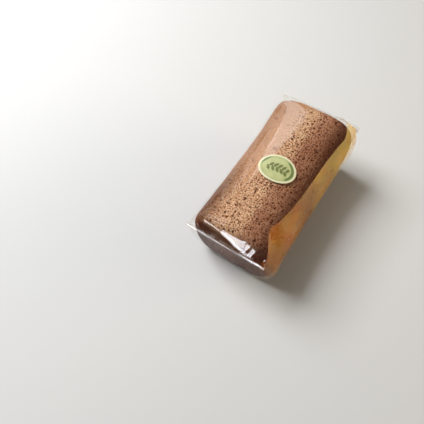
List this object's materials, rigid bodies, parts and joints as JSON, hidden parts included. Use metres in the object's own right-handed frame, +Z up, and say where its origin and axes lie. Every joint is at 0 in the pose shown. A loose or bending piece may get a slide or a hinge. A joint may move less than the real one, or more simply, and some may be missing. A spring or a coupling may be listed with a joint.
{
  "type": "roll cake",
  "caption": "Uncut sponge roll cake in a clear gusseted film bag, heat-sealed at both ends, with an oval paper sticker on its crown.",
  "frame": {"origin": "on the surface that the cake rests on, under the middle of the bag", "axes": "+X across the cake, +Y along its length from the near seal to the far seal, +Z up through the sticker"},
  "size_m": [0.0826, 0.1584, 0.0647],
  "materials": {
    "film_and_sponge": "clear glossy film over brown porous sponge",
    "label_paper": "semi-gloss paper sticker, pale green with a cream rim"
  },
  "bodies": {
    "root": {"film_bag": "film_and_sponge", "label": "label_paper"}
  },
  "joints": []
}
